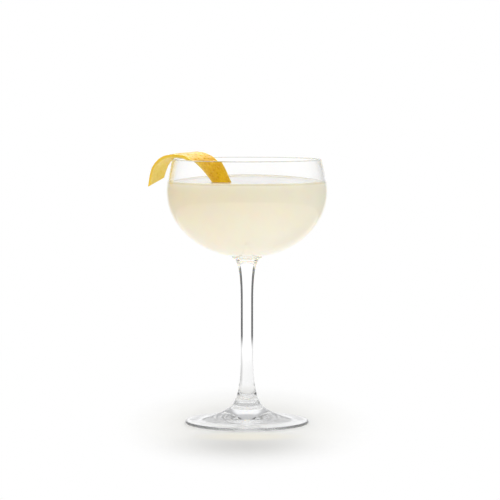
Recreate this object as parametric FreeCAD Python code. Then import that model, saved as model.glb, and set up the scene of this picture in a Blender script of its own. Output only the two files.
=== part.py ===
"""A cloudy citrus cocktail in a coupe glass, with a twist of lemon peel over the rim.

Three pieces, one STEP file each: the glass, the drink and the lemon twist. Millimetres, +Z up. The
origin is on the glass's axis, in the plane that the foot stands on. The twist hangs over the rim on
the -X side.
"""
import FreeCAD, Part
import math
import os

# Whole glass
GLASS_HEIGHT = 166.0  # foot to lip
WALL = 1.2  # blown wall of the bowl, and twice the radius of its rounded lip
FILL_DROP = 14.1  # from the lip down to the surface of the drink

# Bowl
BOWL_RADIUS = 50.2  # outside, at its widest
WIDEST_BELOW_LIP = 20.1  # how far the widest place lies under the lip
SHOULDER_RADIUS = 36.0  # the wall's curve just above the widest place
SIDE_LEAN_DEG = 12.2  # how far the straight top of the wall leans in
BOWL_DEPTH = 41.6  # outside, from the widest place down to where the oval would end
BOWL_FLOOR = 3.5  # thickness of glass that the oval leaves at the bottom
FLOOR_RADIUS = 8.0  # the middle of the floor inside is a round cap, this far out

# Collar and stem
COLLAR_RADIUS = 9.4  # where the bowl ends in a small bead
COLLAR_DROP = 1.7  # height of the bead's rounded side
NECK_RADIUS = 7.4  # the groove under the bead
NECK_DROP = 0.9  # height of the groove
STEM_RADIUS = 3.9  # the plain middle of the stem
STEM_TOP = 77.0  # the plain middle ends here and the stem begins to widen upwards
STEM_BOTTOM = 45.0  # the plain middle begins here
NECK_STEP = 0.3  # how much narrower the stem starts than the groove
BEAD_BULGE = (0.5, -0.5)  # how the bead leaves the bowl, out and down
BEAD_TUCK = (1.3, -0.1)  # how it comes back under to the groove
GROOVE_TUCK = (-0.6, 0.0)  # how the groove leaves the bead
GROOVE_EASE = (0.25, 0.3)  # how it meets the stem
FLARE_PULL = (-2.2, -3.9)  # how the widened top of the stem draws in
FLARE_EASE = (0.0, 13.0)  # how it settles into the plain middle
SWELL_EASE = (0.0, -17.0)  # how the lower stem leaves the plain middle

# Foot
FOOT_RADIUS = 38.8
FOOT_EDGE = 1.9  # thickness of the foot's rounded edge
FOOT_ROOT_RADIUS = 8.3  # where the stem's swelling turns into the foot
FOOT_ROOT_HEIGHT = 13.1
FOOT_SLOPE_RADIUS = 21.9  # where the flare turns into the shallow top of the foot
FOOT_SLOPE_HEIGHT = 4.3
ROOT_RISE = (-3.1, 5.0)  # how the lower stem comes down to the root
ROOT_PULL = (1.6, -2.6)  # how the flare leaves the root, on the same line
SLOPE_PULL = (-8.4, 2.8)  # how it comes to the shallow top
SLOPE_RUN = (4.1, -1.35)  # how the shallow top goes on
EDGE_RUN = (-6.3, 0.0)  # how it levels out at the edge
FOOT_RING = 3.9  # width of the flat ring that the glass stands on
FOOT_HOLLOW = 3.2  # rise of the hollow underside at its middle

# Lemon twist: a strip cut with a knife, zest outside, thin white pith inside
PEEL_THICKNESS = 2.2
PEEL_BEVEL = 0.4  # how much narrower each side of the pith is than the zest
PEEL_WIDTH = 11.0  # across the zest, where the strip passes over the lip
TAIL_CUT_DEG = 29.0  # slant of the cut across the hanging end
TAIL_CUT_DROP = 14.3  # from the lip down to that cut, on the strip's middle
TAIL_CUT_REACH = 10.3  # from the lip outwards to the same point

# The course of the strip's pith side, from the hanging end over the lip into the drink:
# inwards from the lip, to the back, up from the lip, roll about the course, width over PEEL_WIDTH
PEEL_COURSE = (
    (-11.0, -2.0, -22.0, -52.0, 0.95),
    (-9.8, -2.0, -14.0, -48.0, 1.00),
    (-8.6, -1.5, -8.2, -44.0, 1.04),
    (-6.3, -1.2, -3.9, -36.0, 1.04),
    (-3.1, -1.0, -0.8, -21.0, 1.00),
    (0.0, -1.0, 0.8, -6.0, 1.00),
    (4.0, -1.6, 1.5, 3.0, 1.00),
    (9.0, -3.0, 1.4, 14.0, 1.04),
    (14.8, -5.0, 0.2, 37.0, 1.09),
    (20.4, -7.0, -2.6, 57.0, 1.12),
    (24.8, -8.8, -6.4, 70.0, 1.09),
    (28.1, -10.0, -10.5, 77.0, 1.02),
    (30.6, -11.0, -14.7, 80.0, 0.99),
    (34.2, -12.5, -22.0, 80.0, 0.99),
)

WIDEST_HEIGHT = GLASS_HEIGHT - WIDEST_BELOW_LIP
FILL_HEIGHT = GLASS_HEIGHT - FILL_DROP
INNER_RADIUS = BOWL_RADIUS - WALL
INNER_DEPTH = BOWL_DEPTH - BOWL_FLOOR
LEAN = math.radians(SIDE_LEAN_DEG)
UP = FreeCAD.Vector(0, 0, 1)


def at(radius, height):
    """A point of the outline, in the plane of X and Z."""
    return FreeCAD.Vector(radius, 0, height)


def line(start, end):
    return Part.LineSegment(start, end).toShape()


def arc(start, middle, end):
    return Part.Arc(start, middle, end).toShape()


def sweep(start, leave, arrive, end):
    """A cubic curve whose two middle poles lie at leave from its start and at arrive from its end."""
    curve = Part.BezierCurve()
    curve.setPoles([start, start + at(*leave), end + at(*arrive), end])
    return curve.toShape()


def bowl_arc(radius, depth, end_radius):
    """The lower bowl: a quarter oval from its widest place down to end_radius."""
    centre = at(0, WIDEST_HEIGHT)
    oval = Part.Ellipse(centre + at(radius, 0), centre - at(0, depth), centre)
    return Part.ArcOfEllipse(oval, 0, math.acos(end_radius / radius)).toShape()


def floor_cap():
    """The round middle of the bowl's floor, tangent to the inner oval, and its lowest point."""
    fall = INNER_DEPTH * math.sqrt(1 - (FLOOR_RADIUS / INNER_RADIUS) ** 2)
    rise = fall * (INNER_RADIUS / INNER_DEPTH) ** 2
    cap_radius = math.hypot(FLOOR_RADIUS, rise)
    centre = WIDEST_HEIGHT - fall + rise
    half = math.asin(FLOOR_RADIUS / cap_radius) / 2
    side = at(cap_radius * math.sin(half), centre - cap_radius * math.cos(half))
    lowest = at(0, centre - cap_radius)
    return arc(at(FLOOR_RADIUS, WIDEST_HEIGHT - fall), side, lowest), lowest


def shoulder_point(angle, inset):
    """A point of the shoulder's round, inset from the outer face of the wall."""
    reach = SHOULDER_RADIUS - inset
    centre = BOWL_RADIUS - SHOULDER_RADIUS
    return at(centre + reach * math.cos(angle), WIDEST_HEIGHT + reach * math.sin(angle))


def lip_centre():
    """The centre of the lip's round, on the wall's middle line."""
    start = shoulder_point(LEAN, WALL / 2)
    height = GLASS_HEIGHT - WALL / 2
    return at(start.x - (height - start.z) * math.tan(LEAN), height)


def lip_point(angle):
    return lip_centre() + at(math.cos(angle), math.sin(angle)) * (WALL / 2)


def bowl_wall():
    """Edges from the collar up the outside, over the lip and down the inside to the floor."""
    outer_top = lip_point(LEAN)
    inner_top = lip_point(LEAN + math.pi)
    return [
        bowl_arc(BOWL_RADIUS, BOWL_DEPTH, COLLAR_RADIUS),
        arc(shoulder_point(0, 0), shoulder_point(LEAN / 2, 0), shoulder_point(LEAN, 0)),
        line(shoulder_point(LEAN, 0), outer_top),
        arc(outer_top, lip_point(LEAN + math.pi / 2), inner_top),
        line(inner_top, shoulder_point(LEAN, WALL)),
        arc(shoulder_point(LEAN, WALL), shoulder_point(LEAN / 2, WALL), shoulder_point(0, WALL)),
        bowl_arc(INNER_RADIUS, INNER_DEPTH, FLOOR_RADIUS),
    ]


def stem_and_collar():
    """Edges from the bowl's end round the bead and down to the foot's root."""
    fall = BOWL_DEPTH * math.sqrt(1 - (COLLAR_RADIUS / BOWL_RADIUS) ** 2)
    collar = at(COLLAR_RADIUS, WIDEST_HEIGHT - fall)
    groove = at(NECK_RADIUS, collar.z - COLLAR_DROP)
    neck = at(NECK_RADIUS - NECK_STEP, groove.z - NECK_DROP)
    shaft_top = at(STEM_RADIUS, STEM_TOP)
    shaft_bottom = at(STEM_RADIUS, STEM_BOTTOM)
    root = at(FOOT_ROOT_RADIUS, FOOT_ROOT_HEIGHT)
    return [
        sweep(collar, BEAD_BULGE, BEAD_TUCK, groove),
        sweep(groove, GROOVE_TUCK, GROOVE_EASE, neck),
        sweep(neck, FLARE_PULL, FLARE_EASE, shaft_top),
        line(shaft_top, shaft_bottom),
        sweep(shaft_bottom, SWELL_EASE, ROOT_RISE, root),
    ]


def foot():
    """Edges from the stem's root over the foot, round its edge and under it to the axis."""
    root = at(FOOT_ROOT_RADIUS, FOOT_ROOT_HEIGHT)
    slope = at(FOOT_SLOPE_RADIUS, FOOT_SLOPE_HEIGHT)
    edge_radius = FOOT_EDGE / 2
    edge_centre = FOOT_RADIUS - edge_radius
    edge_top = at(edge_centre, FOOT_EDGE)
    edge_under = at(edge_centre, 0)
    ring = at(edge_centre - FOOT_RING, 0)
    dome_radius = (ring.x**2 + FOOT_HOLLOW**2) / (2 * FOOT_HOLLOW)
    dome_half = math.asin(ring.x / dome_radius) / 2
    dome_centre = FOOT_HOLLOW - dome_radius
    dome_side = at(dome_radius * math.sin(dome_half), dome_centre + dome_radius * math.cos(dome_half))
    return [
        sweep(root, ROOT_PULL, SLOPE_PULL, slope),
        sweep(slope, SLOPE_RUN, EDGE_RUN, edge_top),
        arc(edge_top, at(FOOT_RADIUS, edge_radius), edge_under),
        line(edge_under, ring),
        arc(ring, dome_side, at(0, FOOT_HOLLOW)),
    ]


def turned(edges):
    """The solid that the closed outline makes, turned about the glass's axis."""
    wire = Part.Wire(Part.__sortEdges__(edges))
    return Part.Face(wire).revolve(FreeCAD.Vector(), UP, 360)


def glass():
    cap, lowest = floor_cap()
    axis = line(at(0, FOOT_HOLLOW), lowest)
    return turned(bowl_wall() + stem_and_collar() + foot() + [cap, axis])


def drink(twist):
    """The drink fills the bowl to its level, less the part of the twist that dips in it."""
    rise = math.asin((FILL_HEIGHT - WIDEST_HEIGHT) / (SHOULDER_RADIUS - WALL))
    brim = shoulder_point(rise, WALL)
    cap, lowest = floor_cap()
    edges = [
        cap,
        bowl_arc(INNER_RADIUS, INNER_DEPTH, FLOOR_RADIUS),
        arc(shoulder_point(0, WALL), shoulder_point(rise / 2, WALL), brim),
        line(brim, at(0, FILL_HEIGHT)),
        line(at(0, FILL_HEIGHT), lowest),
    ]
    return turned(edges).cut(twist).Solids[0]


def peel_section(place, along, roll, width):
    """One closed four-sided section of the strip, square to its course."""
    outward = FreeCAD.Vector(-along.z, 0, along.x).normalize()
    towards_front = along.cross(outward).normalize()
    zest = outward * math.cos(roll) + towards_front * math.sin(roll)
    side = along.cross(zest)
    half_zest = side * (width / 2)
    half_pith = side * (width / 2 - PEEL_BEVEL)
    top = place + zest * PEEL_THICKNESS
    corners = [top + half_zest, top - half_zest, place - half_pith, place + half_pith]
    return Part.makePolygon(corners + corners[:1])


def lemon_twist():
    lip = lip_centre()
    places = [
        FreeCAD.Vector(inwards - lip.x, back, GLASS_HEIGHT + up)
        for inwards, back, up, _, _ in PEEL_COURSE
    ]
    course = Part.BSplineCurve()
    course.interpolate(places)
    sections = [
        peel_section(place, course.tangent(course.parameter(place))[0], math.radians(roll),
                     PEEL_WIDTH * share)
        for place, (_, _, _, roll, share) in zip(places, PEEL_COURSE)
    ]
    strip = Part.makeLoft(sections, True)

    reach = 1.5 * PEEL_WIDTH
    trim = Part.makeBox(2 * reach, 2 * reach, reach, FreeCAD.Vector(-reach, -reach, -reach))
    trim.rotate(FreeCAD.Vector(), FreeCAD.Vector(0, -1, 0), TAIL_CUT_DEG)
    trim.translate(FreeCAD.Vector(-lip.x - TAIL_CUT_REACH, 0, GLASS_HEIGHT - TAIL_CUT_DROP))
    return strip.cut(trim).Solids[0]


def main():
    os.makedirs("parts", exist_ok=True)
    twist = lemon_twist()
    pieces = {"glass": glass(), "drink": drink(twist), "lemon_twist": twist}
    for name, shape in pieces.items():
        shape.exportStep(f"parts/{name}.step")
        print(name, shape.isValid(), len(shape.Solids), round(shape.Volume / 1000, 2), "ml")


main()
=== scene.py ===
"""The looks of a cloudy lemon cocktail in a coupe glass, with a twist of lemon peel over the rim.

Sizes of the pieces are in millimetres, and every mesh is written in metres. Shaders read metres, so
the sizes of the stage's floor are in metres too.
"""

import math

import bmesh
import bpy
import numpy as np
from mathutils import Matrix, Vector


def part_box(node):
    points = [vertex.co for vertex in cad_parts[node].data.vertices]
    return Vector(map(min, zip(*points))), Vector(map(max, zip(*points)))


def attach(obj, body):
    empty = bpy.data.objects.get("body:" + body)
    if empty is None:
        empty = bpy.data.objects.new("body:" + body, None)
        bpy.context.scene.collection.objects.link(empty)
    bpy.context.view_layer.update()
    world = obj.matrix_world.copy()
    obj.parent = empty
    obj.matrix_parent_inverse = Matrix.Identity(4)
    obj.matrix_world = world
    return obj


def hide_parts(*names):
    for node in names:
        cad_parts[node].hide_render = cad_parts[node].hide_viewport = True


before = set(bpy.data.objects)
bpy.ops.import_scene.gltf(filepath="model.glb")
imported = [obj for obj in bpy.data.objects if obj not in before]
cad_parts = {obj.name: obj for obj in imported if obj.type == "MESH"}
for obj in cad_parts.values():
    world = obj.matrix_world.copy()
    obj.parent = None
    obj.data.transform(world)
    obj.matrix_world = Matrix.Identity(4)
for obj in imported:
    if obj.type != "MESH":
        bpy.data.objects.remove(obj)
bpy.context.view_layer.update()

MM = 0.001

# ---------------------------------------------------------------- sizes taken from the frame
glass_high = np.array(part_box("glass")[1]) / MM
drink_high = np.array(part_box("drink")[1]) / MM
GLASS_HEIGHT = glass_high[2]
BOWL_RADIUS = glass_high[0]
FILL_HEIGHT = drink_high[2]
DRINK_RADIUS = drink_high[0]

# ---------------------------------------------------------------- the glass's own sizes
WALL = 1.2
WIDEST_BELOW_LIP = 20.1
SHOULDER_RADIUS = 36.0
SIDE_LEAN = math.radians(12.2)
BOWL_DEPTH = 41.6
BOWL_FLOOR = 3.5
COLLAR_RADIUS = 9.4  # where the bowl ends in a small bead
COLLAR_DROP = 1.7
NECK_RADIUS = 7.4  # the groove under the bead
NECK_DROP = 0.9
NECK_STEP = 0.3  # how much narrower the stem starts than the groove
STEM_RADIUS = 3.9
STEM_TOP = 77.0  # the plain middle of the stem ends here
STEM_BOTTOM = 45.0
BEAD_BULGE = (0.5, -0.5)  # how the bead leaves the bowl, out and down
BEAD_TUCK = (1.3, -0.1)  # how it comes back under to the groove
GROOVE_TUCK = (-0.6, 0.0)  # how the groove leaves the bead
GROOVE_EASE = (0.25, 0.3)  # how it meets the stem
FLARE_PULL = (-2.2, -3.9)  # how the widened top of the stem draws in
FLARE_EASE = (0.0, 13.0)  # how it settles into the plain middle
SWELL_EASE = (0.0, -17.0)  # how the lower stem leaves the plain middle
FOOT_RADIUS = 38.8
FOOT_EDGE = 1.9  # thickness of the foot's rounded edge
FOOT_ROOT = (8.3, 13.1)  # where the stem's swelling turns into the foot
FOOT_SLOPE = (21.9, 4.3)  # where the flare turns into the shallow top of the foot
ROOT_RISE = (-3.1, 5.0)  # how the lower stem comes down to the root
ROOT_PULL = (1.6, -2.6)  # how the flare leaves the root
SLOPE_PULL = (-8.4, 2.8)  # how it comes to the shallow top
SLOPE_RUN = (4.1, -1.35)  # how the shallow top goes on
EDGE_RUN = (-6.3, 0.0)  # how it levels out at the edge
FOOT_RING = 1.8  # width of the flat ring that the glass stands on
FOOT_HOLLOW = 3.2  # rise of the hollow underside at its middle

WIDEST_HEIGHT = GLASS_HEIGHT - WIDEST_BELOW_LIP
INNER_RADIUS = BOWL_RADIUS - WALL
INNER_DEPTH = BOWL_DEPTH - BOWL_FLOOR
SHOULDER_CENTRE = (BOWL_RADIUS - SHOULDER_RADIUS, WIDEST_HEIGHT)
SHAFT_TOP = (STEM_RADIUS, STEM_TOP)
SHAFT_BOTTOM = (STEM_RADIUS, STEM_BOTTOM)

# straight steps in each stretch of the outlines, and round the axis
INSIDE_STEPS = 90
OUTSIDE_STEPS = 84
SHOULDER_STEPS = 16
LIP_STEPS = 14
BEAD_STEPS = 12
GROOVE_STEPS = 8
STEM_STEPS = 28
FLARE_STEPS = 20
FOOT_TOP_STEPS = 16
FOOT_EDGE_STEPS = 12
HOLLOW_STEPS = 30
AROUND = 192
SAME_POINT = 1e-6  # points of an outline that are nearer than this count as one
SEAM_REACH = 1e-6  # points nearer than this, in metres, close a seam or a pole

# ---------------------------------------------------------------- the drink's own sizes
INTO_WALL = 0.15  # how far the drink reaches into the glass, so that no air shows between them
MENISCUS_RISE = 0.5
MENISCUS_REACH = 1.1  # the rise falls to about a third this far in from the glass
MENISCUS_ZONE = 6.0  # the surface is flat to the eye past this
MENISCUS_STEPS = 24
SURFACE_STEPS = 59
# painted shade: a darker line in the drink's colour just under its level, next to the glass
LEVEL_SHADE_DEPTH = (1.3, 0.4)  # the darker line begins this far under the level, and is full this far under it
LEVEL_SHADE_WIDTH = (2.2, 1.2)  # the same, in from the drink's widest place

# ---------------------------------------------------------------- the twist's own sizes
PEEL_THICKNESS = 2.2
PEEL_BEVEL = 0.4
PEEL_WIDTH = 11.0
PEEL_CROWN = 0.35  # how much the middle of the zest stands over its edges
TAIL_CUT = math.radians(29.0)  # slant of the cut across the hanging end
TAIL_CUT_DROP = 14.3  # from the lip down to that cut, on the strip's middle
TAIL_CUT_REACH = 10.3  # from the lip outwards to the same point
TAIL_SHARE = 0.4  # the cut lies within this share of the course
TAIL_HALVINGS = 30
PEEL_STATIONS = 470  # rows of points along the strip
PORE_SPACING = 2.1
PORE_DEPTH = 0.36
KNIFE_WANDER = 0.025  # how far the edges stray, over half the width
KNIFE_STRAY = 9.0  # length of each stray
EDGE_SIDES = 40.0  # sets the two edges' strays apart
EDGE_POWER = 6  # the higher, the closer to the edges the strays keep
EDGE_HIGHLIGHT_POWER = 9  # the higher, the narrower the painted highlights along the zest's edges
SKIN = 0.25  # share of the thickness, from either face, that the unevenness reaches into
ZEST_SWELLS = ((5.0, 5, 0.16), (2.4, 6, 0.06))  # length, seed and height of each ripple
PITH_SPONGE = ((1.6, 8, 0.05), (4.5, 9, 0.12))
# points of the section: along the zest, along the pith, in each corner's round and down each side
ZEST_POINTS = 76
PITH_POINTS = 34
CORNER_POINTS = 3
SIDE_POINTS = 7
# inwards from the lip, to the back, up from the lip, roll in degrees, width over PEEL_WIDTH
PEEL_COURSE = (
    (-11.0, -2.0, -22.0, -52.0, 0.95),
    (-9.8, -2.0, -14.0, -48.0, 1.00),
    (-8.6, -1.5, -8.2, -44.0, 1.04),
    (-6.3, -1.2, -3.9, -36.0, 1.04),
    (-3.1, -1.0, -0.8, -21.0, 1.00),
    (0.0, -1.0, 0.8, -6.0, 1.00),
    (4.0, -1.6, 1.5, 3.0, 1.00),
    (9.0, -3.0, 1.4, 14.0, 1.04),
    (14.8, -5.0, 0.2, 37.0, 1.09),
    (20.4, -7.0, -2.6, 57.0, 1.12),
    (24.8, -8.8, -6.4, 70.0, 1.09),
    (28.1, -10.0, -10.5, 77.0, 1.02),
    (30.6, -11.0, -14.7, 80.0, 0.99),
    (34.2, -12.5, -22.0, 80.0, 0.99),
)


# ================================================================ outlines, as (radius, height)
def bezier(start, leave, arrive, end, steps):
    """A cubic curve with its middle poles at leave from its start and at arrive from its end."""
    poles = np.array([start, np.add(start, leave), np.add(end, arrive), end], float)
    t = np.linspace(0, 1, steps + 1)[:, None]
    weights = np.hstack([(1 - t) ** 3, 3 * t * (1 - t) ** 2, 3 * t**2 * (1 - t), t**3])
    return weights @ poles


def oval_arc(radius, depth, start, end, steps):
    """Part of an oval centred on the axis at the bowl's widest height, by angle below level."""
    angle = np.linspace(start, end, steps + 1)
    return np.column_stack([radius * np.cos(angle), WIDEST_HEIGHT - depth * np.sin(angle)])


def round_arc(centre, radius, start, end, steps):
    """Part of a circle, by angle from outwards, turning up."""
    angle = np.linspace(start, end, steps + 1)
    return np.column_stack([centre[0] + radius * np.cos(angle), centre[1] + radius * np.sin(angle)])


def joined(*runs):
    """Runs end to end, without the points that two runs share."""
    points = np.vstack(runs)
    step = np.linalg.norm(np.diff(points, axis=0), axis=1)
    return points[np.r_[True, step > SAME_POINT]]


def inner_wall(top_angle, inset=0.0):
    """The inside of the bowl, from its middle up to an angle of the shoulder's round."""
    radius = INNER_RADIUS + inset
    depth = INNER_DEPTH + inset
    oval = oval_arc(radius, depth, math.pi / 2, 0, INSIDE_STEPS)
    oval[0, 0] = 0
    shoulder = round_arc(SHOULDER_CENTRE, SHOULDER_RADIUS - WALL + inset, 0, top_angle, SHOULDER_STEPS)
    return joined(oval, shoulder)


def lip_centre():
    """The middle of the lip's round, at the top of the straight lean."""
    shoulder_reach = SHOULDER_RADIUS - WALL / 2
    start_radius = BOWL_RADIUS - SHOULDER_RADIUS + shoulder_reach * math.cos(SIDE_LEAN)
    start_height = WIDEST_HEIGHT + shoulder_reach * math.sin(SIDE_LEAN)
    height = GLASS_HEIGHT - WALL / 2
    return np.array([start_radius - (height - start_height) * math.tan(SIDE_LEAN), height])


def glass_outline():
    """From the bowl's floor up the inside, over the lip and down the outside to the foot's hollow."""
    lip = round_arc(lip_centre(), WALL / 2, SIDE_LEAN + math.pi, SIDE_LEAN, LIP_STEPS)
    outer_shoulder = round_arc(SHOULDER_CENTRE, SHOULDER_RADIUS, SIDE_LEAN, 0, SHOULDER_STEPS)
    collar_angle = math.acos(COLLAR_RADIUS / BOWL_RADIUS)
    outer_bowl = oval_arc(BOWL_RADIUS, BOWL_DEPTH, 0, collar_angle, OUTSIDE_STEPS)

    collar = outer_bowl[-1]
    groove = np.array([NECK_RADIUS, collar[1] - COLLAR_DROP])
    neck = np.array([NECK_RADIUS - NECK_STEP, groove[1] - NECK_DROP])
    bead = bezier(collar, BEAD_BULGE, BEAD_TUCK, groove, BEAD_STEPS)
    hollow_groove = bezier(groove, GROOVE_TUCK, GROOVE_EASE, neck, GROOVE_STEPS)
    stem_top = bezier(neck, FLARE_PULL, FLARE_EASE, SHAFT_TOP, STEM_STEPS)
    stem_foot = bezier(SHAFT_BOTTOM, SWELL_EASE, ROOT_RISE, FOOT_ROOT, STEM_STEPS)

    edge_radius = FOOT_EDGE / 2
    edge_centre = FOOT_RADIUS - edge_radius
    flare = bezier(FOOT_ROOT, ROOT_PULL, SLOPE_PULL, FOOT_SLOPE, FLARE_STEPS)
    foot_top = bezier(FOOT_SLOPE, SLOPE_RUN, EDGE_RUN, (edge_centre, FOOT_EDGE), FOOT_TOP_STEPS)
    edge_middle = (edge_centre, edge_radius)
    foot_edge = round_arc(edge_middle, edge_radius, math.pi / 2, -math.pi / 2, FOOT_EDGE_STEPS)

    ring = edge_centre - FOOT_RING
    dome_radius = (ring**2 + FOOT_HOLLOW**2) / (2 * FOOT_HOLLOW)
    dome_half = math.asin(ring / dome_radius)
    dome_centre = (0, FOOT_HOLLOW - dome_radius)
    dome = round_arc(dome_centre, dome_radius, math.pi / 2 - dome_half, math.pi / 2, HOLLOW_STEPS)
    dome[-1, 0] = 0
    return joined(
        inner_wall(SIDE_LEAN), lip, outer_shoulder, outer_bowl, bead, hollow_groove,
        stem_top, stem_foot, flare, foot_top, foot_edge, dome,
    )


def drink_outline():
    """From the bottom of the drink up the glass to the top of the meniscus, and in to the middle."""
    reach = SHOULDER_RADIUS - WALL + INTO_WALL
    brim_angle = math.asin((FILL_HEIGHT + MENISCUS_RISE - WIDEST_HEIGHT) / reach)
    side = inner_wall(brim_angle, INTO_WALL)
    brim = side[-1, 0]
    curved = np.linspace(0, MENISCUS_ZONE, MENISCUS_STEPS + 1)[1:]
    level = np.linspace(MENISCUS_ZONE, brim, SURFACE_STEPS + 1)[1:]
    inward = np.r_[curved, level]
    radius = brim - inward
    height = FILL_HEIGHT + MENISCUS_RISE * np.exp(-inward / MENISCUS_REACH)
    surface = np.column_stack([radius, height])
    surface[-1, 0] = 0
    return joined(side, surface)


# ================================================================ nodes
def feed(tree, socket, value):
    """Links an output to the input, or sets the input to a value."""
    if isinstance(value, bpy.types.NodeSocket):
        tree.links.new(value, socket)
    else:
        socket.default_value = value


def add_node(tree, kind, **sockets):
    """A node of this kind, with each named input set to a value or linked to an output."""
    node = tree.nodes.new(kind)
    for name, value in sockets.items():
        feed(tree, node.inputs[name.replace("_", " ")], value)
    return node


def maths(tree, operation, *values):
    node = tree.nodes.new("ShaderNodeMath")
    node.operation = operation
    for socket, value in zip(node.inputs, values):
        feed(tree, socket, value)
    return node.outputs[0]


def vector_maths(tree, operation, *values):
    node = tree.nodes.new("ShaderNodeVectorMath")
    node.operation = operation
    for socket, value in zip(node.inputs, values):
        feed(tree, socket, value)
    return node.outputs["Value"] if operation in ("LENGTH", "DOT_PRODUCT") else node.outputs["Vector"]


def smooth_step(tree, value, low, high, at_low=0.0, at_high=1.0):
    node = add_node(
        tree, "ShaderNodeMapRange",
        Value=value, From_Min=low, From_Max=high, To_Min=at_low, To_Max=at_high,
    )
    node.interpolation_type = "SMOOTHSTEP"
    return node.outputs[0]


def between(tree, factor, first, second):
    """A number between two numbers."""
    node = tree.nodes.new("ShaderNodeMix")
    for socket, value in zip(node.inputs[0:1] + node.inputs[2:4], (factor, first, second)):
        feed(tree, socket, value)
    return node.outputs[0]


def colour_mix(tree, factor, first, second, mode="MIX"):
    """A colour between two colours, each an output or three numbers."""
    node = tree.nodes.new("ShaderNodeMix")
    node.data_type = "RGBA"
    node.blend_type = mode
    for socket, value in zip(node.inputs[0:1] + node.inputs[6:8], (factor, first, second)):
        feed(tree, socket, (*value, 1) if isinstance(value, tuple) else value)
    return node.outputs[2]


def ramp(tree, factor, *stops):
    """A colour that runs through the stops, each a place from 0 to 1 and a colour."""
    node = tree.nodes.new("ShaderNodeValToRGB")
    marks = node.color_ramp.elements
    while len(marks) < len(stops):
        marks.new(0.5)
    for mark, (where, colour) in zip(marks, stops):
        mark.position = where
        mark.color = (*colour, 1)
    tree.links.new(factor, node.inputs[0])
    return node.outputs[0]


def grey_ramp(tree, factor, *stops):
    """The same, with one number to a stop."""
    return ramp(tree, factor, *((where, (value,) * 3) for where, value in stops))


def grey(tree, value):
    node = tree.nodes.new("ShaderNodeCombineXYZ")
    for socket in node.inputs:
        feed(tree, socket, value)
    return node.outputs[0]


def noise(tree, scale, detail):
    where = tree.nodes.new("ShaderNodeTexCoord").outputs["Object"]
    return add_node(tree, "ShaderNodeTexNoise", Vector=where, Scale=scale, Detail=detail).outputs[0]


def attribute(tree, name):
    node = tree.nodes.new("ShaderNodeAttribute")
    node.attribute_name = name
    return node.outputs["Fac"]


# ================================================================ solids of revolution
def lathe_tree():
    """Turns a chain of points, each at its radius on X and its height on Z, about the Z axis."""
    tree = bpy.data.node_groups.new("lathe", "GeometryNodeTree")
    face = tree.interface
    face.new_socket("Outline", in_out="INPUT", socket_type="NodeSocketGeometry")
    face.new_socket("Segments", in_out="INPUT", socket_type="NodeSocketInt").default_value = AROUND
    face.new_socket("Finish", in_out="INPUT", socket_type="NodeSocketMaterial")
    face.new_socket("Turned", in_out="OUTPUT", socket_type="NodeSocketGeometry")
    given = tree.nodes.new("NodeGroupInput").outputs

    size = add_node(tree, "GeometryNodeAttributeDomainSize", Geometry=given["Outline"])
    rows = size.outputs["Point Count"]
    columns = maths(tree, "ADD", given["Segments"], 1)
    grid = add_node(
        tree, "GeometryNodeMeshGrid",
        Size_X=1.0, Size_Y=1.0, Vertices_X=rows, Vertices_Y=columns,
    )

    # the grid runs from -0.5 to 0.5: along X it counts the chain's points, along Y it goes round
    place = tree.nodes.new("GeometryNodeInputPosition").outputs[0]
    split = add_node(tree, "ShaderNodeSeparateXYZ", Vector=place)
    along = maths(tree, "ADD", split.outputs["X"], 0.5)
    row = maths(tree, "ROUND", maths(tree, "MULTIPLY", along, maths(tree, "SUBTRACT", rows, 1)))
    turn = maths(tree, "MULTIPLY", maths(tree, "ADD", split.outputs["Y"], 0.5), 2 * math.pi)

    sample = tree.nodes.new("GeometryNodeSampleIndex")
    sample.data_type = "FLOAT_VECTOR"
    tree.links.new(given["Outline"], sample.inputs["Geometry"])
    tree.links.new(place, sample.inputs["Value"])
    tree.links.new(row, sample.inputs["Index"])
    spin = add_node(tree, "ShaderNodeVectorRotate", Vector=sample.outputs[0], Angle=turn)
    spin.rotation_type = "Z_AXIS"

    sheet = grid.outputs["Mesh"]
    moved = add_node(tree, "GeometryNodeSetPosition", Geometry=sheet, Position=spin.outputs[0])
    closed = add_node(tree, "GeometryNodeMergeByDistance", Geometry=moved.outputs[0], Distance=SEAM_REACH)
    smooth = add_node(tree, "GeometryNodeSetShadeSmooth", Geometry=closed.outputs[0], Shade_Smooth=True)
    real = add_node(tree, "GeometryNodeRealizeInstances", Geometry=smooth.outputs[0])
    done = add_node(tree, "GeometryNodeSetMaterial", Geometry=real.outputs[0], Material=given["Finish"])
    tree.links.new(done.outputs[0], tree.nodes.new("NodeGroupOutput").inputs[0])
    return tree


def mesh_object(name, vertices, edges=(), faces=()):
    """A new object whose mesh is written in metres from millimetres."""
    mesh = bpy.data.meshes.new(name)
    places = (np.asarray(vertices) * MM).tolist()
    mesh.from_pydata(places, [tuple(edge) for edge in edges], [tuple(face) for face in faces])
    piece = bpy.data.objects.new(name, mesh)
    bpy.context.scene.collection.objects.link(piece)
    return piece


def apply_tree(piece, tree, **inputs):
    """The plain mesh that the tree makes of the piece, with its faces turned outwards."""
    modifier = piece.modifiers.new("shape", "NODES")
    modifier.node_group = tree
    given = [item for item in tree.interface.items_tree if item.in_out == "INPUT"]
    identifiers = {item.name: item.identifier for item in given}
    for name, value in inputs.items():
        modifier[identifiers[name]] = value
    graph = bpy.context.evaluated_depsgraph_get()
    made = bpy.data.meshes.new_from_object(piece.evaluated_get(graph), depsgraph=graph)
    piece.modifiers.remove(modifier)
    piece.data = made
    made.name = piece.name
    face_outwards(piece)
    return piece


def face_outwards(piece):
    shape = bmesh.new()
    shape.from_mesh(piece.data)
    bmesh.ops.recalc_face_normals(shape, faces=shape.faces)
    shape.to_mesh(piece.data)
    shape.free()


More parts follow.
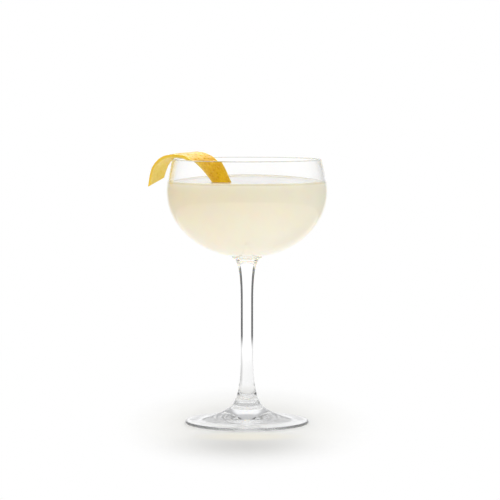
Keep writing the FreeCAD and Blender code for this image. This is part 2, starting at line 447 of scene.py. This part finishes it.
def turned(name, outline, material, lathe):
    """A solid of revolution from an outline in millimetres."""
    points = np.column_stack([outline[:, 0], np.zeros(len(outline)), outline[:, 1]])
    chain = [(i, i + 1) for i in range(len(points) - 1)]
    piece = mesh_object(name, points, edges=chain)
    return apply_tree(piece, lathe, Segments=AROUND, Finish=material)


# ================================================================ finishes
CLEAR = (1.0, 1.0, 1.0)
GLASS_IOR = 1.5
# painted shade: grey put into the glass's colour at the lip and round the foot's rounded edge
LIP_PAINTED_SHADE = (0.76, 0.77, 0.76)
LIP_SHADE_BAND = (0.9, 0.3)  # it starts this many walls under the top, and is full this many under it
FOOT_EDGE_PAINTED_SHADE = (0.58, 0.59, 0.59)
FOOT_EDGE_SHADE_BAND = (0.5, 0.1)  # the same, in from the rim, by the thickness of the foot's edge
FOOT_EDGE_SHADE_TOP = 1.2  # it ends this many of them up
CLOUD_DEEP = (0.914, 0.897, 0.836)
CLOUD_PALE = (0.924, 0.912, 0.860)
# the colour of the painted shade line at the drink's level
LEVEL_PAINTED_SHADE = (0.75, 0.72, 0.61)
CLOUD_NOISE = (45, 2)  # blotches to a metre, and detail
DRINK_IOR = 1.34
DRINK_SCATTER = (1.0, 0.8, 0.55)
ZEST_DEEP = (0.86, 0.485, 0.001)
ZEST_BRIGHT = (0.95, 0.615, 0.002)
ZEST_PORE = (0.79, 0.40, 0.002)
# painted highlight: a paler colour along the zest's edges
ZEST_EDGE_HIGHLIGHT = (0.94, 0.73, 0.12)
CUT_YELLOW = (0.91, 0.65, 0.065)
PITH_DEEP = (0.84, 0.66, 0.15)
PITH_PALE = (0.90, 0.73, 0.23)
PITH_TO_CUT = (0.15, 0.5)  # depths, from the pith's face at 0 to the zest's at 1
CUT_TO_ZEST = (0.7, 1.0)
ZEST_NOISE = (190, 3)
PITH_NOISE = (420, 3)
WAX_NOISE = (900, 3)
GRAIN_NOISE = (2400, 4)
GRAIN_DEPTH = 0.00006
WAX_ROUGHNESS = (0.22, 0.16)  # the least, and what the noise adds
PEEL_IOR = 1.38
PEEL_SCATTER = (1.0, 0.75, 0.25)
BLOTCHES = (0.3, 0.7)  # the levels of a noise between which one shade turns into the other


def new_material(name):
    material = bpy.data.materials.new(name)
    material.use_nodes = True
    tree = material.node_tree
    return material, tree, tree.nodes["Principled BSDF"]


def blotched(tree, grain, first, second):
    """Two shades of one colour, in soft blotches."""
    return ramp(tree, noise(tree, *grain), *zip(BLOTCHES, (first, second)))


def set_inputs(shader, **values):
    for name, value in values.items():
        shader.inputs[name.replace("_", " ")].default_value = value


def height_and_radius(tree):
    """How high each place is, and how far it is from the glass's axis."""
    where = tree.nodes.new("ShaderNodeTexCoord").outputs["Object"]
    split = add_node(tree, "ShaderNodeSeparateXYZ", Vector=where)
    squares = [maths(tree, "MULTIPLY", side, side) for side in split.outputs[:2]]
    return split.outputs["Z"], maths(tree, "SQRT", maths(tree, "ADD", *squares))


def clear_glass():
    """Clear, with painted shade at the lip and round the foot: grey put into its colour there."""
    material, tree, shader = new_material("clear_glass")
    height, out = height_and_radius(tree)
    # where the painted shade lies: just under the lip, and on the foot's rounded edge
    lip = smooth_step(tree, height, *((GLASS_HEIGHT - walls * WALL) * MM for walls in LIP_SHADE_BAND))
    rim = smooth_step(tree, out, *((FOOT_RADIUS - inside * FOOT_EDGE) * MM for inside in FOOT_EDGE_SHADE_BAND))
    on_foot = maths(tree, "LESS_THAN", height, FOOT_EDGE_SHADE_TOP * FOOT_EDGE * MM)
    edge = maths(tree, "MULTIPLY", rim, on_foot)
    colour = colour_mix(tree, lip, CLEAR, LIP_PAINTED_SHADE)
    tree.links.new(colour_mix(tree, edge, colour, FOOT_EDGE_PAINTED_SHADE), shader.inputs["Base Color"])
    set_inputs(shader, Roughness=0.0, IOR=GLASS_IOR, Transmission_Weight=1.0)
    return material


def cloudy_drink():
    """Cream-coloured and cloudy, with painted shade: a darker line just under the level, next to the glass.
    """
    material, tree, shader = new_material("cloudy_drink")
    height, out = height_and_radius(tree)
    top = smooth_step(tree, height, *((FILL_HEIGHT - under) * MM for under in LEVEL_SHADE_DEPTH))
    wall = smooth_step(tree, out, *((DRINK_RADIUS - inside) * MM for inside in LEVEL_SHADE_WIDTH))
    cloud = blotched(tree, CLOUD_NOISE, CLOUD_DEEP, CLOUD_PALE)
    # painted shade: the darker line under the level, next to the glass
    level_shade = colour_mix(tree, maths(tree, "MULTIPLY", top, wall), cloud, LEVEL_PAINTED_SHADE)
    tree.links.new(level_shade, shader.inputs["Base Color"])
    set_inputs(
        shader, Roughness=0.04, IOR=DRINK_IOR, Specular_IOR_Level=0.2,
        Subsurface_Weight=1.0, Subsurface_Scale=0.010, Subsurface_Radius=DRINK_SCATTER,
    )
    return material


def lemon_peel():
    """Waxy pored zest outside, with painted highlights along its edges, a yellow cut edge and pale pith
    inside.
    """
    material, tree, shader = new_material("lemon_peel")
    zest = blotched(tree, ZEST_NOISE, ZEST_DEEP, ZEST_BRIGHT)
    zest = colour_mix(tree, attribute(tree, "pore"), zest, ZEST_PORE)
    # the painted highlight along the zest's edges, where the attribute rim is 1
    zest = colour_mix(tree, attribute(tree, "rim"), zest, ZEST_EDGE_HIGHLIGHT)
    depth = attribute(tree, "rind_depth")
    pith = blotched(tree, PITH_NOISE, PITH_DEEP, PITH_PALE)
    rind = colour_mix(tree, smooth_step(tree, depth, *PITH_TO_CUT), pith, CUT_YELLOW)
    peel = colour_mix(tree, smooth_step(tree, depth, *CUT_TO_ZEST), rind, zest)
    tree.links.new(peel, shader.inputs["Base Color"])
    least, added = WAX_ROUGHNESS
    rough = maths(tree, "ADD", least, maths(tree, "MULTIPLY", noise(tree, *WAX_NOISE), added))
    tree.links.new(rough, shader.inputs["Roughness"])
    set_inputs(
        shader, IOR=PEEL_IOR, Subsurface_Weight=0.35, Subsurface_Scale=0.0012,
        Subsurface_Radius=PEEL_SCATTER,
    )
    grain = noise(tree, *GRAIN_NOISE)
    fine = add_node(tree, "ShaderNodeBump", Strength=0.35, Distance=GRAIN_DEPTH, Height=grain)
    tree.links.new(fine.outputs[0], shader.inputs["Normal"])
    return material


# ================================================================ the lemon twist
def natural_spline(knots, values):
    """A function of a number, smooth through values at knots, straight at both ends."""
    knots = np.asarray(knots, float)
    values = np.asarray(values, float)
    gap = np.diff(knots)
    count = len(knots)
    matrix = np.eye(count)
    bend = np.zeros_like(values)
    for i in range(1, count - 1):
        matrix[i, i - 1 : i + 2] = gap[i - 1], 2 * (gap[i - 1] + gap[i]), gap[i]
        slopes = (values[i + 1] - values[i]) / gap[i] - (values[i] - values[i - 1]) / gap[i - 1]
        bend[i] = 6 * slopes
    moments = np.linalg.solve(matrix, bend)

    def curve(where):
        where = np.asarray(where, float)
        i = np.clip(np.searchsorted(knots, where, side="right") - 1, 0, count - 2)
        h = gap[i][..., None]
        left = (where - knots[i])[..., None]
        right = (knots[i + 1] - where)[..., None]
        bowed = (moments[i] * right**3 + moments[i + 1] * left**3) / (6 * h)
        from_left = (values[i] / h - moments[i] * h / 6) * right
        from_right = (values[i + 1] / h - moments[i + 1] * h / 6) * left
        return bowed + (from_left + from_right)

    return curve


def unit(vectors):
    return vectors / np.linalg.norm(vectors, axis=-1, keepdims=True)


class PeelStrip:
    """The strip's course over the lip, and the way it lies at each place along it."""

    def __init__(self):
        course = np.array(PEEL_COURSE)
        course[:, 0] -= lip_centre()[0]
        course[:, 2] += GLASS_HEIGHT
        steps = np.linalg.norm(np.diff(course[:, :3], axis=0), axis=1)
        self.knots = np.r_[0, np.cumsum(steps)]
        self.length = self.knots[-1]
        self.curve = natural_spline(self.knots, course)

    def lie(self, s):
        """Place, zest direction, side direction and half width at distance s along the course."""
        here = self.curve(s)
        nudge = 0.01
        along = unit(self.curve(s + nudge)[..., :3] - self.curve(s - nudge)[..., :3])
        outward = unit(np.stack([-along[..., 2], np.zeros_like(s), along[..., 0]], -1))
        front = unit(np.cross(along, outward))
        roll = np.radians(here[..., 3])[..., None]
        zest = outward * np.cos(roll) + front * np.sin(roll)
        side = np.cross(along, zest)
        return here[..., :3], zest, side, here[..., 4] * PEEL_WIDTH / 2

    def point(self, s, across, depth):
        """across runs from -1 to 1 over the width, depth from 0 at the pith to 1 at the zest."""
        place, zest, side, half = self.lie(s)
        reach = half - PEEL_BEVEL * (1 - depth)
        rise = PEEL_THICKNESS * depth - PEEL_CROWN * across**2
        return place + side * (reach * across)[..., None] + zest * rise[..., None]

    def tail_start(self, across, depth):
        """Where along the course each line of the strip meets the slanting cut of its tail."""
        lip = lip_centre()
        foot = np.array([-lip[0] - TAIL_CUT_REACH, 0, GLASS_HEIGHT - TAIL_CUT_DROP])
        normal = np.array([-math.sin(TAIL_CUT), 0, math.cos(TAIL_CUT)])
        low = np.zeros_like(across)
        high = np.full_like(across, TAIL_SHARE * self.length)
        for _ in range(TAIL_HALVINGS):
            middle = (low + high) / 2
            above = (self.point(middle, across, depth) - foot) @ normal > 0
            high = np.where(above, middle, high)
            low = np.where(above, low, middle)
        return high


def pits(u, v, spacing, seed):
    """A field of round dimples, 0 to 1, one in each cell of a grid, each off its cell's middle."""
    rng = np.random.default_rng(seed)
    size = 256
    jitter = 0.42
    steepness = 1.6
    offset = rng.uniform(-jitter, jitter, (size, size, 2))
    breadth = rng.uniform(0.24, 0.44, (size, size))
    strength = rng.uniform(0.35, 1.0, (size, size))
    i = np.floor(u / spacing).astype(int)
    j = np.floor(v / spacing).astype(int)
    field = np.zeros_like(u)
    for di in (-1, 0, 1):
        for dj in (-1, 0, 1):
            a = (i + di) % size
            b = (j + dj) % size
            cu = (i + di + 0.5 + offset[a, b, 0]) * spacing
            cv = (j + dj + 0.5 + offset[a, b, 1]) * spacing
            distance = np.hypot(u - cu, v - cv) / (breadth[a, b] * spacing)
            field = np.maximum(field, strength[a, b] * np.exp(-(distance**2) * steepness))
    return field


def ripple(u, v, scale, seed):
    """Smooth unevenness between about -1 and 1, made of waves that run every way."""
    rng = np.random.default_rng(seed)
    octaves = 3
    waves = 5
    total = np.zeros_like(u)
    for octave in range(octaves):
        for _ in range(waves):
            angle, phase = rng.uniform(0, 2 * math.pi, 2)
            pace = 2 * math.pi / scale * 2**octave * rng.uniform(0.7, 1.3)
            total += np.sin((u * math.cos(angle) + v * math.sin(angle)) * pace + phase) / 2**octave
    return total / (1.2 * waves)


def unevenness(u, v, layers):
    """Ripples laid over each other."""
    return sum(ripple(u, v, scale, seed) * height for scale, seed, height in layers)


def peel_loop():
    """Once round the strip's section, with rounded corners: each point's across and depth."""
    corner = 0.045  # of the half width
    soft = 0.16  # of the thickness
    zest = np.linspace(-1 + corner, 1 - corner, ZEST_POINTS)
    pith = np.linspace(1 - corner, -1 + corner, PITH_POINTS)
    turn = np.linspace(0, math.pi / 2, CORNER_POINTS + 2)[1:-1]
    side = np.linspace(1 - soft, soft, SIDE_POINTS)
    across = np.r_[
        zest,
        1 - corner + corner * np.sin(turn),
        np.ones(len(side)),
        1 - corner + corner * np.cos(turn),
        pith,
        -1 + corner - corner * np.sin(turn),
        -np.ones(len(side)),
        -1 + corner - corner * np.cos(turn),
    ]
    depth = np.r_[
        np.ones(len(zest)),
        1 - soft + soft * np.cos(turn),
        side,
        soft - soft * np.sin(turn),
        np.zeros(len(pith)),
        soft - soft * np.cos(turn),
        side[::-1],
        1 - soft + soft * np.sin(turn),
    ]
    return across, depth


def knife_edges(s, across):
    """The strip's edges as the knife left them, not quite parallel."""
    on_edge = np.abs(across) ** EDGE_POWER
    stray = ripple(s + EDGE_SIDES * np.sign(across), 0 * s, KNIFE_STRAY, seed=3)
    return across + np.sign(across) * on_edge * KNIFE_WANDER * stray


def closed_strip(name, place):
    """A mesh of rows of points, each row a loop, with both ends closed to their middles."""
    rows, loop = place.shape[:2]
    index = np.arange(rows * loop).reshape(rows, loop)
    following = np.roll(index, -1, axis=1)
    quads = np.stack([index[:-1], following[:-1], following[1:], index[1:]], -1).reshape(-1, 4)
    tail_middle, dip_middle = rows * loop, rows * loop + 1
    vertices = np.vstack([place.reshape(-1, 3), place[0].mean(0), place[-1].mean(0)])
    caps = [(tail_middle, following[0, k], index[0, k]) for k in range(loop)]
    caps += [(index[-1, k], following[-1, k], dip_middle) for k in range(loop)]
    return mesh_object(name, vertices, faces=quads.tolist() + caps)


def lemon_twist(material):
    """The strip of peel, with what its finish needs to know at each point."""
    strip = PeelStrip()
    across, depth = peel_loop()
    share = np.linspace(0, 1, PEEL_STATIONS)[:, None]
    start = strip.tail_start(across, depth)[None, :]
    s = start + (strip.length - start) * share
    depth = np.broadcast_to(depth, s.shape)
    across = knife_edges(s, np.broadcast_to(across, s.shape))
    place = strip.point(s, across, depth)
    _, zest, _, half = strip.lie(s)

    v = across * half
    outside = np.clip((depth - (1 - SKIN)) / SKIN, 0, 1)
    inside = np.clip((SKIN - depth) / SKIN, 0, 1)
    pores = pits(s, v, PORE_SPACING, seed=11) * outside
    # where the painted highlight lies: along the zest's edges
    rim = np.abs(across) ** EDGE_HIGHLIGHT_POWER * outside
    swell = unevenness(s, v, ZEST_SWELLS)
    relief = outside * (swell - PORE_DEPTH * pores) - inside * unevenness(s, v, PITH_SPONGE)
    piece = closed_strip("lemon_peel_twist", place + zest * relief[..., None])

    for name, values, at_ends in (("rind_depth", depth, 0.5), ("pore", pores, 0), ("rim", rim, 0)):
        layer = piece.data.attributes.new(name, "FLOAT", "POINT")
        layer.data.foreach_set("value", np.r_[values.ravel(), at_ends, at_ends].astype(np.float32))
    piece.data.shade_smooth()
    piece.data.materials.append(material)
    face_outwards(piece)
    return piece


# ================================================================ stage, light and camera
CAMERA_BACK = 1508.0
CAMERA_HEIGHT = 212.0
AIM = (1.9, 0.0, 109.0)
LENS = 173.7
SENSOR_WIDTH = 36.0
CLIP_NEAR_AND_FAR = (0.05, 20.0)  # metres

# levels of light
LAMP = 2.2
FILL = 1.075
OVERHEAD = 0.70  # the fill from straight above
SIDE_DIM = 0.76  # the share of lamp and fill that is left straight out to the sides
BACKDROP = 1.09  # what shows through the glass
CEILING_THROUGH_GLASS = 0.45
CEILING_MIRRORED = 0.6
UPLIGHT = 1.24  # from the floor, further out than its paper
LEVEL_SHINE = 0.9  # what a waxy or wet surface mirrors from low down
SHINE = 2.6  # and from higher up
TOP_SHINE = 6.5  # added to that from straight above
FRONT_SHINE = 0.05  # the share of all three that is left in front
LAMP_WAY = Vector((0.10, 0.75, 0.66)).normalized()
WHITE = (1.0, 1.0, 1.0)
COOL_WHITE = (0.98, 0.985, 1.0)
UPLIGHT_TINT = (1.0, 0.96, 0.88)
LEFT_CARD = (0.80, 0.575, 0.16)
RIGHT_CARD = (0.86, 0.84, 0.62)

# where each begins to change and where it has changed, on a direction's x, y or z, which run from
# -1 to 1: to the right, to the back and up
LAMP_EDGE = (0.88, 0.98)  # this one by the cosine of the angle from the lamp's middle
OVERHEAD_Z = (0.35, 0.85)
SIDES_X = (0.35, 0.9)
SHINE_Y = (-0.35, 0.05)
SHINE_Z = (0.25, 0.55)
TOP_SHINE_Z = (0.65, 0.9)
LEFT_CARD_X = (0.0, -0.6)
RIGHT_CARD_X = (0.2, 0.9)
CARDS_Z = (0.6, 0.2)
ROOM_MEETS_X = (-0.05, 0.05)  # where the left greys of the room give way to the right ones
# the same, in degrees up
FLATS_TOP = (24, 12)
FLATS_FOOT = (-7.6, -6.3)
CEILING_RISE = (28, 50)
MIRRORED_CEILING_RISE = (22, 40)

# greys round the room, each from straight behind the glass at 0 to straight in front of it at 1
ROOM_LEFT = ((0.10, 1.0), (0.15, 0.55), (0.38, 0.55), (0.42, 0.4), (0.6, 0.4), (0.75, 0.05))
ROOM_RIGHT = ((0.10, 1.0), (0.15, 0.50), (0.38, 0.50), (0.42, 0.4), (0.6, 0.4), (0.75, 0.05))
# how dark the flats that stand to either side are, on the same scale
FLATS = (
    (0.16, 0.0), (0.20, 1.0), (0.22, 1.0), (0.235, 0.72), (0.265, 0.72), (0.28, 1.0),
    (0.39, 1.0), (0.42, 0.0), (0.57, 0.0), (0.61, 0.5), (0.76, 0.5), (0.80, 0.0),
)

# the floor, in metres
FLOOR_RADIUS = 0.55
FLOOR_SIDES = 128
FLOOR_ENDS = (0.75, 0.98)  # shares of its radius, where it begins to fade and where it is gone
FLOOR_GAP = 0.0002  # keeps the sheet just clear of the foot's flat ring
FLOOR_PAPER = (0.95, 0.966, 0.995)
# the colour of the painted pool of light in front of the foot
FLOOR_GLINT = (0.91, 0.905, 0.86)
# painted shadows and a painted pool of light, as ovals on the floor: middle, half lengths, share of the way
# out where each begins to fade, strength
FOOT_SHADE = ((0.0, 0.0), (0.060, 0.13), 0.3, 0.11)
FRONT_SHADE = ((0.0, -0.105), (0.062, 0.070), 0.0, 0.15)
DRINK_GLINT = ((0.0, -0.058), (0.040, 0.024), 0.2, 1.0)
PAPER_OVAL = (0.085, 0.20)
PAPER_FADE = (0.45, 1.0)  # shares of the way out in that oval where paper gives way to plain light
PAPER_CLOSE = (0.042, 0.10)  # distances where it does for rays that aren't the camera's own
NEAR_TO_FAR = (0.14, 0.44)  # distances where the near floor's greys give way to the far floor's
# greys of the floor through the glass: far ones by the half turn, near ones by the full turn, in
# which 0.5 is straight behind the glass
FAR_FLOOR = ((0.19, BACKDROP), (0.25, 0.78), (0.8, 0.78), (0.95, 1.0))
NEAR_FLOOR = (
    (0.00, 0.9), (0.08, 0.62), (0.16, 0.62), (0.23, 0.9),
    (0.56, 1.0), (0.62, 0.62), (0.68, 0.62), (0.76, 0.9),
)


def add_camera():
    camera = bpy.data.objects.new("camera", bpy.data.cameras.new("camera"))
    bpy.context.scene.collection.objects.link(camera)
    place = Vector((AIM[0], -CAMERA_BACK, CAMERA_HEIGHT)) * MM
    aim = Vector(AIM) * MM
    camera.location = place
    camera.rotation_euler = (aim - place).to_track_quat("-Z", "Y").to_euler()
    camera.data.lens = LENS
    camera.data.sensor_width = SENSOR_WIDTH
    camera.data.clip_start, camera.data.clip_end = CLIP_NEAR_AND_FAR
    bpy.context.scene.camera = camera


class RayKinds:
    """1 or 0 each, for what a ray left last and what it has met on its way."""

    def __init__(self, tree):
        path = tree.nodes.new("ShaderNodeLightPath").outputs
        singular = path["Is Singular Ray"]
        clean = maths(tree, "LESS_THAN", path["Diffuse Depth"], 0.5)
        sharp = maths(tree, "MAXIMUM", path["Is Transmission Ray"], singular)
        shiny = maths(tree, "MULTIPLY", path["Is Glossy Ray"], maths(tree, "SUBTRACT", 1, singular))
        self.seen = path["Is Camera Ray"]
        self.through_glass = maths(tree, "MULTIPLY", clean, sharp)
        self.mirrored = maths(tree, "GREATER_THAN", path["Glossy Depth"], 0.5)
        self.shine = maths(tree, "MULTIPLY", clean, shiny)


def half_turn(tree, x, y):
    """0 straight behind the glass, 1 straight in front of it, the same on both sides."""
    turn = maths(tree, "ARCTAN2", maths(tree, "ABSOLUTE", x), y)
    return maths(tree, "DIVIDE", turn, math.pi)


def full_turn(tree, x, y):
    """0.5 straight behind the glass, more to its right and less to its left."""
    return maths(tree, "MULTIPLY_ADD", maths(tree, "ARCTAN2", x, y), 0.5 / math.pi, 0.5)


# ---------------------------------------------------------------- the floor
def oval_span(tree, where, centre, radii):
    """0 at the middle of an oval on the floor and 1 on its rim."""
    off = vector_maths(tree, "SUBTRACT", where, (*centre, 0))
    return vector_maths(tree, "LENGTH", vector_maths(tree, "DIVIDE", off, (*radii, 1)))


def floor_oval(tree, where, centre, radii, fade_from, strength):
    """Full strength in the middle of an oval on the floor, and nothing past its rim."""
    return smooth_step(tree, oval_span(tree, where, centre, radii), fade_from, 1.0, strength, 0.0)


def floor_paper(tree, where):
    """Matt paper with painted soft shadows round the foot and in front of it, and a painted pool of light
    in front, where the drink would throw light.
    """
    around = floor_oval(tree, where, *FOOT_SHADE)
    ahead = floor_oval(tree, where, *FRONT_SHADE)
    kept = maths(tree, "SUBTRACT", 1, maths(tree, "ADD", around, ahead))
    shaded = colour_mix(tree, 1.0, FLOOR_PAPER, grey(tree, kept), mode="MULTIPLY")
    colour = colour_mix(tree, floor_oval(tree, where, *DRINK_GLINT), shaded, FLOOR_GLINT)
    return add_node(tree, "ShaderNodeBsdfDiffuse", Color=colour).outputs[0]


def floor_glow(tree, where, distance, ray):
    """Plain white to the camera, greyer round the sides through glass, and a warm light upwards."""
    x, y, _ = add_node(tree, "ShaderNodeSeparateXYZ", Vector=where).outputs
    far = grey_ramp(tree, half_turn(tree, x, y), *FAR_FLOOR)
    near = grey_ramp(tree, full_turn(tree, x, y), *NEAR_FLOOR)
    sides = between(tree, smooth_step(tree, distance, *NEAR_TO_FAR), near, far)
    level = between(tree, ray.through_glass, between(tree, ray.seen, UPLIGHT, 1.0), sides)
    direct = maths(tree, "MAXIMUM", ray.seen, ray.through_glass)
    tint = colour_mix(tree, direct, UPLIGHT_TINT, WHITE)
    return add_node(tree, "ShaderNodeEmission", Color=tint, Strength=level).outputs[0]


def shader_mix(tree, factor, first, second):
    node = add_node(tree, "ShaderNodeMixShader", Fac=factor)
    tree.links.new(first, node.inputs[1])
    tree.links.new(second, node.inputs[2])
    return node.outputs[0]


def add_floor():
    """A pale matt sheet that fades, outwards, into the plain light round it."""
    ring = round_arc((0, 0), FLOOR_RADIUS / MM, 0, 2 * math.pi, FLOOR_SIDES)[:-1]
    sheet = np.column_stack([ring, np.full(len(ring), -FLOOR_GAP / MM)])
    floor = mesh_object("pale_floor", sheet, faces=[range(len(ring))])
    material = bpy.data.materials.new("pale_floor")
    material.use_nodes = True
    tree = material.node_tree
    tree.nodes.clear()
    where = tree.nodes.new("ShaderNodeTexCoord").outputs["Object"]
    distance = vector_maths(tree, "LENGTH", where)
    ray = RayKinds(tree)

    wide = smooth_step(tree, oval_span(tree, where, (0, 0), PAPER_OVAL), *PAPER_FADE)
    close = smooth_step(tree, distance, *PAPER_CLOSE)
    glowing = between(tree, ray.seen, close, wide)
    lit = shader_mix(tree, glowing, floor_paper(tree, where), floor_glow(tree, where, distance, ray))
    gone = smooth_step(tree, distance, *(share * FLOOR_RADIUS for share in FLOOR_ENDS))
    nothing = tree.nodes.new("ShaderNodeBsdfTransparent").outputs[0]
    ending = shader_mix(tree, gone, lit, nothing)
    tree.links.new(ending, tree.nodes.new("ShaderNodeOutputMaterial").inputs["Surface"])
    floor.data.materials.append(material)


# ---------------------------------------------------------------- the light
def mirrored_room(tree, x, turn, rise):
    """What polished faces mirror: a white card behind, greys at the sides, a dark room in front."""
    left = grey_ramp(tree, turn, *ROOM_LEFT)
    right = grey_ramp(tree, turn, *ROOM_RIGHT)
    room = between(tree, smooth_step(tree, x, *ROOM_MEETS_X), left, right)
    return between(tree, smooth_step(tree, rise, *MIRRORED_CEILING_RISE), room, CEILING_MIRRORED)


def room_through_glass(tree, turn, rise):
    """What shows through the glass: white all round, with dark flats standing low to either side."""
    flats = grey_ramp(tree, turn, *FLATS)
    standing = maths(
        tree, "MULTIPLY",
        smooth_step(tree, rise, *FLATS_TOP), smooth_step(tree, rise, *FLATS_FOOT),
    )
    ceiling = smooth_step(tree, rise, *CEILING_RISE, BACKDROP, CEILING_THROUGH_GLASS)
    left_over = maths(tree, "SUBTRACT", 1, maths(tree, "MULTIPLY", flats, standing))
    return maths(tree, "MULTIPLY", left_over, ceiling)


def lamp_and_fill(tree, direction, x, z):
    """What lights the pieces: a broad lamp over and behind, and a soft fill that is dimmer at the sides."""
    towards = vector_maths(tree, "DOT_PRODUCT", direction, LAMP_WAY)
    lamp = smooth_step(tree, towards, *LAMP_EDGE, 0.0, LAMP)
    soft = maths(tree, "ADD", lamp, smooth_step(tree, z, *OVERHEAD_Z, FILL, OVERHEAD))
    sides = smooth_step(tree, maths(tree, "ABSOLUTE", x), *SIDES_X, 1.0, SIDE_DIM)
    return maths(tree, "MULTIPLY", soft, sides)


def surface_shine(tree, y, z):
    """What a waxy or wet surface mirrors: a bright lamp above and behind, and a dark room in front."""
    lamp = smooth_step(tree, z, *SHINE_Z, LEVEL_SHINE, SHINE)
    above = maths(tree, "ADD", lamp, smooth_step(tree, z, *TOP_SHINE_Z, 0.0, TOP_SHINE))
    return maths(tree, "MULTIPLY", smooth_step(tree, y, *SHINE_Y, FRONT_SHINE, 1.0), above)


def card_tint(tree, x, z):
    """The warm card that stands low on the left, and the paler one on the right."""
    low = smooth_step(tree, z, *CARDS_Z)
    left = maths(tree, "MULTIPLY", smooth_step(tree, x, *LEFT_CARD_X), low)
    right = maths(tree, "MULTIPLY", smooth_step(tree, x, *RIGHT_CARD_X), low)
    return colour_mix(tree, right, colour_mix(tree, left, WHITE, LEFT_CARD), RIGHT_CARD)


def add_light():
    """A studio that is white to the camera, and that shows other rays its lamp, cards and flats."""
    world = bpy.data.worlds.new("studio")
    bpy.context.scene.world = world
    world.use_nodes = True
    tree = world.node_tree
    tree.nodes.clear()
    direction = tree.nodes.new("ShaderNodeTexCoord").outputs["Generated"]
    x, y, z = add_node(tree, "ShaderNodeSeparateXYZ", Vector=direction).outputs
    turn = half_turn(tree, x, y)
    rise = maths(tree, "MULTIPLY", maths(tree, "ARCSINE", z), 180 / math.pi)
    ray = RayKinds(tree)

    clear = room_through_glass(tree, turn, rise)
    sharp = between(tree, ray.mirrored, clear, mirrored_room(tree, x, turn, rise))
    soft = between(tree, ray.shine, lamp_and_fill(tree, direction, x, z), surface_shine(tree, y, z))
    level = between(tree, ray.seen, between(tree, ray.through_glass, soft, sharp), 1.0)

    untinted = maths(tree, "MAXIMUM", ray.seen, ray.through_glass)
    untinted = maths(tree, "MAXIMUM", untinted, ray.shine)
    mirrors = maths(tree, "MULTIPLY", ray.mirrored, ray.through_glass)
    tint = colour_mix(tree, untinted, card_tint(tree, x, z), colour_mix(tree, mirrors, WHITE, COOL_WHITE))
    back = add_node(tree, "ShaderNodeBackground", Color=tint, Strength=level)
    tree.links.new(back.outputs[0], tree.nodes.new("ShaderNodeOutputWorld").inputs[0])


def set_look():
    """Plain colours, and enough bounces for light that turns inside the foot many times."""
    scene = bpy.context.scene
    scene.view_settings.view_transform = "Standard"
    scene.view_settings.look = "None"
    scene.cycles.use_denoising = True
    scene.cycles.max_bounces = 40
    scene.cycles.transmission_bounces = 32
    scene.cycles.glossy_bounces = 32
    scene.cycles.diffuse_bounces = 8
    scene.cycles.transparent_max_bounces = 16
    scene.cycles.blur_glossy = 0.0


# ================================================================ the drink, put together
add_camera()
add_light()
add_floor()
set_look()

lathe = lathe_tree()

coupe = turned("coupe_glass", glass_outline(), clear_glass(), lathe)
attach(coupe, "root")
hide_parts("glass")

drink = turned("cloudy_drink", drink_outline(), cloudy_drink(), lathe)
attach(drink, "root")
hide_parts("drink")

twist = lemon_twist(lemon_peel())
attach(twist, "root")
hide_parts("lemon_twist")
